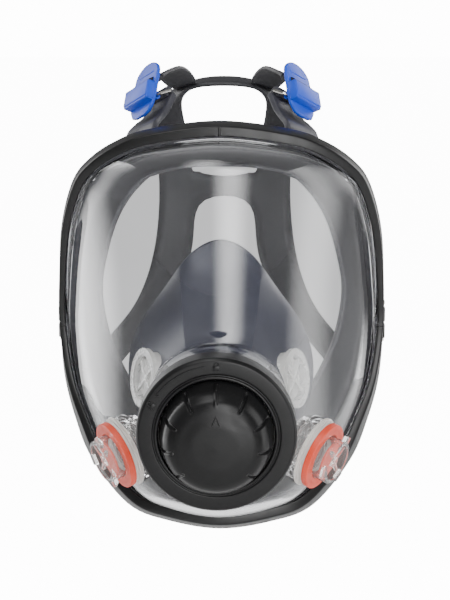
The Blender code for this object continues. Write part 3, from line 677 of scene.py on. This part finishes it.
# %% Ears with their beads
BUCKLES = {
    "upper": (Vector((40.5, 46, 117.5)), Vector((-0.13, 0.5, 0.86)), Vector((0.8, -0.45, 0.38))),
    "lower": (Vector((77, 60, -42)), Vector((-0.16, 0.97, 0.1)), Vector((0.97, 0.15, -0.1))),
}
EARS = {
    "upper": [
        ((36, 16, 93.5), (52.5, 32, 83.5)), ((35, 20, 105), (52, 43, 96.5)),
        ((32.5, 30, 108.6), (49, 53, 101)),
        ((29.5, 36.5, 112.6), (43.5, 58.5, 105.7)), ((27, 41, 118), (39.5, 59, 112.3)),
        ((25.5, 44, 121), (36, 60, 115.5)),
    ],
    "lower": [
        ((79, 29, -33), (72.5, 24, -51)), ((78.5, 37, -33.5), (73.5, 33, -51.5)),
        ((76, 45, -34), (72.5, 42, -51)),
        ((72, 54, -35), (69.5, 53, -49)), ((69.7, 64.5, -35.5), (68.3, 64.5, -47.5)),
    ],
}
BEAD_ALONG, BEAD_OUT, EAR_THICK = 5.4, -7.4, 3.4


def buckle_frame(place, x):
    """X along the pivot, Y along the tongue, Z out of the face."""
    at, tongue, out = BUCKLES[place]
    tongue = Vector((x * tongue.x, tongue.y, tongue.z)).normalized()
    out = Vector((x * out.x, out.y, out.z))
    out = (out - tongue * out.dot(tongue)).normalized()
    matrix = Matrix((tongue.cross(out), tongue, out)).transposed().to_4x4()
    matrix.translation = Vector((x * at.x, at.y, at.z)) * MM
    return matrix


def band_grid(pairs, across=5, steps=4):
    """A band through pairs of edge points, straight across its width."""
    fronts = rounded_path([Vector(p[0]) for p in pairs], steps)
    backs = rounded_path([Vector(p[1]) for p in pairs], steps)
    return laid_grid([[a.lerp(b, k / across) for k in range(across + 1)] for a, b in zip(fronts, backs)])


def across_pivot(along, out):
    return Matrix.Translation(Vector((0, along, out)) * MM) @ Matrix.Rotation(radians(90), 4, "Y")


for side, x in SIDES.items():
    for place, pairs in EARS.items():
        placed = [[Vector((x * p[0], p[1], p[2])) for p in pair] for pair in pairs]
        # Upper ears and beads take the darker rubber, painted shade under the buckles; the lower ones take
        # the seal's own rubber.
        ear = place_mesh(f"seal_ear_{place}_{side}", band_grid(placed), EAR_PAINTED_SHADE if place == "upper" else SEAL)
        thicken(ear, EAR_THICK)
        rim = ear.modifiers.new("Edge", "BEVEL")
        rim.width = 0.9 * MM
        rim.segments = 3
        rim.limit_method = "ANGLE"
        bead_profile = rounded([(3.1, 8), (3.1, -8), (1.2, -8), (1.2, 8)], 0.7)
        bead = spun(bead_profile, buckle_frame(place, x) @ across_pivot(BEAD_ALONG, BEAD_OUT), steps=40)
        bead = place_mesh(f"seal_bead_{place}_{side}", bead, EAR_PAINTED_SHADE if place == "upper" else SEAL)
print("ears:", 2 * len(EARS))

# %% [markdown]
# ## Nose cup
# The inner cup keeps breath off the visor. It starts round at the exhalation neck and ends
# in the outline of a nose and mouth, so it is a loft between two unlike loops, with flat
# facets down its front and a thin rolled edge on the face. Each cheek has a round hole for
# its valve's seat, cut so that the flap behind it has room to lift.

# %% Nose cup body
CUP_FACE = [
    (0, 8, 44), (16.5, 5, 37), (31, 7, 18), (43, 9, 0), (49, 10, -17), (49, 9, -36),
    (42, 6, -54), (26, 2, -67), (0, 0, -72),
]
CUP_STEPS, CUP_FRONT, CUP_RADIUS, CUP_WALL = 64, -38, 31.8, 1.8
cup_edge = half_curve(CUP_FACE, CUP_STEPS)
cup_right = []
for i in range(CUP_STEPS + 1):
    turn = pi * i / CUP_STEPS
    front, rear = [
        VALVE @ (Vector((CUP_RADIUS * sin(turn), CUP_RADIUS * cos(turn), h)) * MM) / MM
        for h in (CUP_FRONT, CUP_FRONT - 14)
    ]
    face = Vector(cup_edge[i])
    shoulder = rear.lerp(face, 0.3) + Vector((face.x * 0.02, 0, 0))
    side_wall = rear.lerp(face, 0.75) + Vector((face.x * 0.01, 0, 0))
    hem = face + Vector((-face.x * 0.1, 4, 0))
    cup_right.append(rounded_path([front, rear, shoulder, side_wall, face, hem], 3))
FACETS = (0, 11, 26, 42)   # stations where one flat side of the cup ends and the next begins
CHECK_AT, CHECK_LEAN = (39.5, -30.2, -22), (0.86, -0.42, 0.12)
SEAT_BORE, SEAT_SIDES, BORE_REACH = 13.8, 24, 16   # the hole for each cheek valve


def flatten(rows):
    """Draw each stretch between two facet edges towards a straight line."""
    flat = [list(row) for row in rows]
    for j in range(len(rows[0])):
        part = j / (len(rows[0]) - 1)
        weight = 0.95 * max(0, sin(pi * min(1, part / 0.8))) ** 0.6
        for i in range(FACETS[-1]):
            if i < FACETS[1]:
                last = rows[FACETS[1]][j]
                target = on_left(last).lerp(last, (i + FACETS[1]) / (2 * FACETS[1]))
            else:
                begin = max(f for f in FACETS if f <= i)
                end = min(f for f in FACETS if f > i)
                target = rows[begin][j].lerp(rows[end][j], (i - begin) / (end - begin))
            flat[i][j] = rows[i][j].lerp(target, weight)
    return flat


cup_right = flatten(cup_right)
cup_mesh = laid_grid(whole_loop(cup_right), wrap_path=True)


def faces_at_valve(to_check, radius):
    """The cup's faces near a cheek valve's axis."""
    centres = [(face, to_check @ face.calc_center_median()) for face in cup_mesh.faces]
    return [f for f, at in centres if at.xy.length < radius * MM and abs(at.z) < BORE_REACH * MM]


for x in SIDES.values():
    check = axis_frame((x * CHECK_AT[0], *CHECK_AT[1:]), Vector((x * CHECK_LEAN[0], *CHECK_LEAN[1:])))
    to_check = check.inverted()
    for k in range(SEAT_SIDES):
        out = Vector((cos(2 * pi * k / SEAT_SIDES), sin(2 * pi * k / SEAT_SIDES), 0))
        near = faces_at_valve(to_check, SEAT_BORE + 5)
        around = {e for face in near for e in face.edges} | {v for face in near for v in face.verts}
        bmesh.ops.bisect_plane(
            cup_mesh, geom=near + list(around), dist=1e-7,
            plane_co=check @ (out * SEAT_BORE * MM), plane_no=check.to_3x3() @ out,
        )
    bmesh.ops.delete(cup_mesh, geom=faces_at_valve(to_check, SEAT_BORE), context="FACES")
nose_cup = place_mesh("nose_cup_body", cup_mesh, CUP, angle=18)
thicken(nose_cup, CUP_WALL, -1)
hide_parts("nose_cup")
print("nose cup vertices:", len(nose_cup.data.vertices))

# %% [markdown]
# ## Exhalation unit
# A coral gasket seals the neck. Over it goes a deep ring whose top and bottom edges are
# rounded, and in the ring sits a stepped knob that locks the unit. The wearer turns it with
# gloves on, so its sloping shoulder has eight cut grips and a raised rib at its top.

# %% Cover ring
COVER_RADIUS = 38.7
ring_profile = rounded([
    (28.0, -0.4), (28.0, -8.8), (NECK_RADIUS + 1.3, -8.8), (NECK_RADIUS + 1.6, -13),
    (COVER_RADIUS - 0.5, -13), (COVER_RADIUS, -12), (COVER_RADIUS, -1.4), (COVER_RADIUS - 1.3, 0.2),
    (31.0, 0.2), (30.7, -0.3), (30.0, -0.3), (29.7, 0.6), (28.5, 0.6),
][::-1], 0.5)
cover_ring = place_mesh("cover_ring", spun(ring_profile, VALVE, steps=128), COVER, angle=50)
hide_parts("valve_cover_ring")
print("cover ring vertices:", len(cover_ring.data.vertices))

# %% Lock knob
KNOB_RADIUS, KNOB_HEIGHT = 27.5, 17
NOTCHES, NOTCH_STEP, NOTCH_WIDTH = 9, radians(33), 0.75
NOTCH_INNER, NOTCH_OUTER, NOTCH_FLOOR = 20.2, 27.3, 2.4
top = KNOB_RADIUS - 8.5
knob_outside = rounded([
    (0, KNOB_HEIGHT + 1.1), (top * 0.6, KNOB_HEIGHT + 0.8), (top, KNOB_HEIGHT - 0.4),
    (top + 3.2, KNOB_HEIGHT - 2.2), (top + 6.2, KNOB_HEIGHT - 6.4), (KNOB_RADIUS - 0.7, 4.2),
    (KNOB_RADIUS, 0.6), (KNOB_RADIUS, -4),
], 1.6, closed=False)
knob_inside = [
    (KNOB_RADIUS - 2.6, -4), (KNOB_RADIUS - 3.6, 2), (top - 1.4, KNOB_HEIGHT - 3.4), (0, KNOB_HEIGHT - 2.4),
]
fine_outside = []
for a, b in zip(knob_outside, knob_outside[1:]):
    parts = max(1, int((Vector(b) - Vector(a)).length / 0.7))
    fine_outside += [Vector(a).lerp(Vector(b), k / parts) for k in range(parts)]
fine_outside.append(Vector(knob_outside[-1]))
knob_mesh = spun([tuple(p) for p in fine_outside] + knob_inside, Matrix(), steps=540, closed=False)
for vert in knob_mesh.verts:
    radius, angle = hypot(vert.co.x, vert.co.y) / MM, atan2(vert.co.x, vert.co.y)
    if not NOTCH_INNER < radius < NOTCH_OUTER or vert.co.z / MM < NOTCH_FLOOR:
        continue
    for k in range(NOTCHES):
        place = (k - (NOTCHES - 1) / 2) * NOTCH_STEP
        off = radius * sin(angle - place)
        if cos(angle - place) < 0:
            continue
        reach = min(1, radius - NOTCH_INNER, (NOTCH_OUTER - radius) / 0.6)
        dip = exp(-(off / NOTCH_WIDTH) ** 4) * reach
        push = 0.7 if k == (NOTCHES - 1) // 2 else -1.3
        slope = Vector((vert.co.x, vert.co.y, 0)).normalized() * 0.87 + Vector((0, 0, 0.48))
        vert.co += slope * push * dip * MM
bmesh.ops.transform(knob_mesh, matrix=VALVE, verts=knob_mesh.verts)
knob = place_mesh("knob_shell", knob_mesh, COVER, body="knob", angle=60)
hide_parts("lock_knob")
print("knob vertices:", len(knob.data.vertices))

# %% [markdown]
# Small moulded signs tell which way to turn: a pointer on the knob, and on the ring a
# closed lock at the top, an open lock to the left of it and a thin arc between the two.


# %% Signs on the ring and knob
SIGN_RADIUS, ARC_RADIUS, LINE = 34.8, 35.2, 0.3


def sign_frame(turn, radius, height):
    return VALVE @ Matrix.Rotation(turn, 4, "Z") @ Matrix.Translation(Vector((0, radius, height)) * MM)


def tube_path(points, radius, matrix, sides=6):
    """A thin raised line through local points."""
    rows = []
    for i, p in enumerate(points):
        ahead = points[min(i + 1, len(points) - 1)]
        behind = points[max(i - 1, 0)]
        along = Vector((ahead[0] - behind[0], ahead[1] - behind[1], 0)).normalized()
        wide = Vector((-along.y, along.x, 0))
        rows.append([
            Vector((p[0], p[1], 0)) + wide * cos(2 * pi * k / sides) * radius
            + Vector((0, 0, sin(2 * pi * k / sides) * radius)) for k in range(sides)
        ])
    work = laid_grid(rows, wrap_rows=True)
    bmesh.ops.holes_fill(work, edges=[e for e in work.edges if e.is_boundary], sides=0)
    bmesh.ops.recalc_face_normals(work, faces=work.faces)
    bmesh.ops.transform(work, matrix=matrix, verts=work.verts)
    return work


def lock_sign(turn, open_shackle):
    matrix = sign_frame(turn, SIGN_RADIUS, 0.42)
    body = soft_block((3.2, 2.2, 0.7), (0, -0.8, 0), matrix, edge=0.15, segments=2)
    lean = 0.8 if open_shackle else 0
    arch = [(-0.9 + lean, 0.1)] + [
        (0.9 * cos(pi - pi * k / 8) + lean, 0.9 + 0.9 * sin(pi * k / 8)) for k in range(9)
    ]
    if not open_shackle:
        arch.append((0.9, 0.1))
    return merged(body, tube_path(arch, 0.32, matrix))


arc = [(ARC_RADIUS * sin(-radians(a)), ARC_RADIUS * cos(radians(a))) for a in range(9, 57, 2)]
arc_matrix = VALVE @ Matrix.Translation((0, 0, 0.34 * MM))
tip = [(arc[-1][0] + 1.6, arc[-1][1] + 0.2), arc[-1], (arc[-1][0] + 0.2, arc[-1][1] + 1.8)]
signs = place_mesh("ring_signs", merged(
    lock_sign(0, False), lock_sign(radians(64), True), tube_path(arc, LINE, arc_matrix),
    tube_path(tip, LINE, arc_matrix),
), COVER)
pointer = place_mesh("knob_pointer", tube_path(
    [(-1.7, 11.2), (0, 15.6), (1.7, 11.2)], LINE, VALVE @ Matrix.Translation((0, 0, 17.75 * MM)),
), COVER, body="knob")
print("signs placed")

# %% [markdown]
# ## Bayonet ports
# On each cheek of the visor stands a clear stepped boss. A coral gasket lies on it, and
# through both goes a clear sleeve with three locking lugs and a spoked seat for the
# breathing flap.

# %% Port pieces
GASKET_RADIUS, BAYONET_RADIUS, BOSS_DEPTH, BAYONET_BORE, PORT_LUGS = 18, 11.8, 15, 9.6, 3
PORT_AT, PORT_LEAN = (55, -35, -63), (0.83, -0.47, -0.31)
for side, x in SIDES.items():
    port = axis_frame((x * PORT_AT[0], *PORT_AT[1:]), Vector((x * PORT_LEAN[0], *PORT_LEAN[1:])))
    boss = place_mesh(f"visor_boss_{side}", spun(rounded([
        (GASKET_RADIUS - 0.6, -3.7), (GASKET_RADIUS - 0.6, -4.9), (GASKET_RADIUS + 0.3, -5.1),
        (GASKET_RADIUS + 0.3, -6.1), (GASKET_RADIUS + 1.0, -6.3), (GASKET_RADIUS + 1.0, -7.3),
        (BAYONET_RADIUS + 0.3, -7.3), (BAYONET_RADIUS + 0.3, -3.7),
    ], 0.25), port), BOSS)
    throat = place_mesh(f"visor_throat_{side}", spun(rounded([
        (GASKET_RADIUS - 0.4, -7.4), (GASKET_RADIUS - 0.4, -BOSS_DEPTH),
        (BAYONET_RADIUS + 0.3, -BOSS_DEPTH), (BAYONET_RADIUS + 0.3, -7.4),
    ], 0.5), port), CLEAR)
    gasket = place_mesh(f"gasket_ring_{side}", spun(rounded([
        (GASKET_RADIUS, 0), (GASKET_RADIUS, -3.5), (BAYONET_RADIUS + 0.4, -3.5), (BAYONET_RADIUS + 0.4, 0),
        (15.6, 0), (15.3, -0.5), (14.6, -0.5), (14.3, 0),
    ][::-1], 0.45), port), CORAL)
    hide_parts(f"port_gasket_{side}")
    tube = spun(rounded([
        (BAYONET_RADIUS, 7.4), (BAYONET_RADIUS, -20.5), (BAYONET_BORE, -20.5), (BAYONET_BORE, 7.4),
    ], 0.5), port)
    parts = [tube]
    for k in range(PORT_LUGS):
        turned = port @ Matrix.Rotation(radians(100 + 360 * k / PORT_LUGS), 4, "Z")
        parts.append(soft_block((6.2, 3.6, 2), (0, BAYONET_RADIUS + 1.1, 6.4), turned, edge=0.5))
    for turn in (45, -45):
        turned = port @ Matrix.Rotation(radians(turn), 4, "Z")
        parts.append(soft_block((19.6, 1.8, 1.6), (0, 0, 5.2), turned, edge=0.3))
    parts.append(spun(rounded([(3, 6.1), (3, 4.3), (0.6, 4.3), (0.6, 6.1)], 0.3), port, steps=32))
    sleeve = place_mesh(f"bayonet_sleeve_{side}", merged(*parts), CLEAR)
    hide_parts(f"port_sleeve_{side}")
print("ports:", len(SIDES))

# %% [markdown]
# ## Harness
# One rubber net: a band over the crown, two long straps down the back of the head with a
# bar between them, and an arm forward to each upper buckle. It is moulded flat and thin, so
# a coarse cage with a wall and a subdivision gives its soft outline.

# %% Harness net
STRAP_WIDTH, STRAP_THICK = 17, 2.2
NET = [
    ((0, 88, 124.5), (0, 112, 127.5)), ((13, 88.5, 124), (12, 112, 127)),
    ((22, 91.5, 121.5), (26, 111, 123)),
    ((26, 99, 114.5), (39, 106, 114)), ((23.5, 115, 101.5), (43, 112, 97)),
    ((20.5, 124, 80), (41, 122, 76)),
    ((20, 127, 67.5), (40.5, 125, 66)), ((18.5, 129, 56.5), (40.5, 126.5, 54)),
    ((19.5, 129.5, 34), (42, 125, 32)),
    ((21.5, 128, 16), (46, 119.5, 11.5)), ((31, 122, -2), (52.8, 110, -6)),
    ((45, 110, -22), (60.5, 100, -17)),
    ((61, 97.5, -39), (70.5, 92, -27)),
]
ARM = [
    ((16, 93, 124), (27, 106, 121.5)), ((16.5, 86, 127.5), (32, 99, 123)),
    ((20, 77.5, 132.5), (36, 88.5, 127)),
    ((24, 66.5, 134.5), (36.5, 78, 129.5)), ((29.8, 54.5, 132.8), (38.3, 67.5, 128.2)),
]
STRAP_LINES = {"upper": [(12.8, -1.4)], "lower": [(26, -4.4), (19, -2.4), (12.8, -1.4)]}
BAR_ROW = 6


def strap_pairs(place, before):
    """The strap's last rows, under the buckle's tongue, in the order that follows on."""
    matrix = buckle_frame(place, 1)
    rows = [
        [matrix @ (Vector((px, py, pz)) * MM) / MM for px in (-STRAP_WIDTH / 2, STRAP_WIDTH / 2)]
        for py, pz in STRAP_LINES[place]
    ]
    straight = (rows[0][0] - before[0]).length + (rows[0][1] - before[1]).length
    crossed = (rows[0][1] - before[0]).length + (rows[0][0] - before[1]).length
    return rows if straight <= crossed else [row[::-1] for row in rows]


net_right = [[Vector(a), Vector(b)] for a, b in NET]
net_right += strap_pairs("lower", net_right[-1])
net = bmesh.new()
for x in SIDES.values():
    rows = [[Vector((x * p.x, p.y, p.z)) for p in row] for row in net_right]
    strip = laid_grid(rows)
    holder = bpy.data.meshes.new("holder")
    strip.to_mesh(holder)
    strip.free()
    net.from_mesh(holder)
bmesh.ops.remove_doubles(net, verts=net.verts, dist=1e-5)
inner = [
    min(net.verts, key=lambda v: (v.co / MM - Vector((x * NET[row][0][0], *NET[row][0][1:]))).length)
    for x, row in ((-1, BAR_ROW), (1, BAR_ROW), (1, BAR_ROW + 1), (-1, BAR_ROW + 1))
]
bmesh.ops.contextual_create(net, geom=inner)
bmesh.ops.recalc_face_normals(net, faces=net.faces)
harness = place_mesh("harness_net", net, STRAP, angle=60)
subdivide(harness, 2)
thicken(harness, STRAP_THICK, 0)
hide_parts("head_harness")
for side, x in SIDES.items():
    rows = [[Vector(a), Vector(b)] for a, b in ARM]
    rows += strap_pairs("upper", rows[-1])
    rows = [[Vector((x * p.x, p.y, p.z)) for p in row] for row in rows]
    arm = place_mesh(f"harness_arm_{side}", band_grid(rows, across=4, steps=6), STRAP, angle=50)
    thicken(arm, STRAP_THICK)
    edge = arm.modifiers.new("Edge", "BEVEL")
    edge.width = 0.5 * MM
    edge.segments = 2
    edge.limit_method = "ANGLE"
print("harness cage faces:", len(harness.data.polygons))

# %% [markdown]
# ## Buckles
# A buckle is a glossy blue plate that swings on a steel wire. The strap comes up through its
# slot, over a bar and down under a bridge. The tongue's end is full and round, so that a
# gloved finger can lift it.

# %% Buckle plates
TONGUE, LIP, BUCKLE_HALF = 21, 12.5, 12


def plate_outline():
    outline = [(-BUCKLE_HALF, 0), (-BUCKLE_HALF + 0.8, -7), (-8.4, -LIP + 1.4), (-4, -LIP), (4, -LIP),
               (8.4, -LIP + 1.4), (BUCKLE_HALF - 0.8, -7), (BUCKLE_HALF, 0), (BUCKLE_HALF, 10)]
    for k in range(1, 14):
        turn = pi * k / 14
        outline.append((BUCKLE_HALF * cos(turn), 12 + (TONGUE - 12) * sin(turn)))
    outline.append((-BUCKLE_HALF, 10))
    return outline


def buckle_mesh(matrix):
    plate = bmesh.new()
    ring = bmesh.ops.create_circle(plate, segments=len(plate_outline()), radius=1)["verts"]
    for vert, (px, py) in zip(ring, plate_outline()):
        vert.co = Vector((px, py, 1.8)) * MM
    face = plate.faces.new(ring)
    raised = bmesh.ops.extrude_face_region(plate, geom=[face])
    moved = [v for v in raised["geom"] if isinstance(v, bmesh.types.BMVert)]
    bmesh.ops.translate(plate, vec=(0, 0, 2.1 * MM), verts=moved)
    bmesh.ops.recalc_face_normals(plate, faces=plate.faces)
    rims = [e for e in plate.edges if len(e.link_faces) == 2 and e.calc_face_angle(0) > 0.9]
    bmesh.ops.bevel(
        plate, geom=rims, offset=0.7 * MM, segments=3, profile=0.5, affect="EDGES", material=-1
    )
    bmesh.ops.transform(plate, matrix=matrix, verts=plate.verts)
    parts = [plate]
    for x in (-1, 1):
        parts.append(soft_block((2.8, 10.6, 5.0), (x * 10.6, 0, 5.9), matrix, edge=0.8))
    parts.append(soft_block((24, 9.6, 1.9), (0, 0.2, 7.9), matrix, edge=0.8))
    parts.append(soft_block((23.6, 1.6, 4.8), (0, -4.9, 5.9), matrix, edge=0.6))
    parts.append(soft_block((15, 1.0, 0.5), (0, 13.6, 3.9), matrix, edge=0.2))
    parts.append(spun(rounded([(2.4, 8.4), (2.4, -8.4), (1.2, -8.4), (1.2, 8.4)], 0.3),
                      matrix @ across_pivot(0, 0), steps=32))
    return merged(*parts)


for side, x in SIDES.items():
    for place in BUCKLES:
        buckle = place_mesh(f"buckle_plate_{place}_{side}", buckle_mesh(buckle_frame(place, x)), BLUE,
                            body=f"buckle_{place}_{side}", angle=40)
        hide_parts(f"buckle_{place}_{side}")
print("buckles:", 2 * len(BUCKLES))

# %% [markdown]
# ## The parts that keep their own shape
# Valves, nuts, screws, wires and strap ends are already right as parts, so they only take
# their finish.

# %% Finishes for the carried-over parts
KEPT = {
    STEEL: ["frame_screw", "frame_nut", "buckle_wire"],
    SILICONE: ["nose_valve", "exhalation"],
    CLEAR: ["port_nut"],
    CORAL: ["neck_gasket", "port_flap"],
    COVER: ["valve_housing"],
    STRAP: ["strap_end"],
}
for material, starts in KEPT.items():
    for name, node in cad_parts.items():
        if any(name.startswith(start) for start in starts):
            node.data.materials.clear()
            node.data.materials.append(material)
print("finished parts:", len(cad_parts))
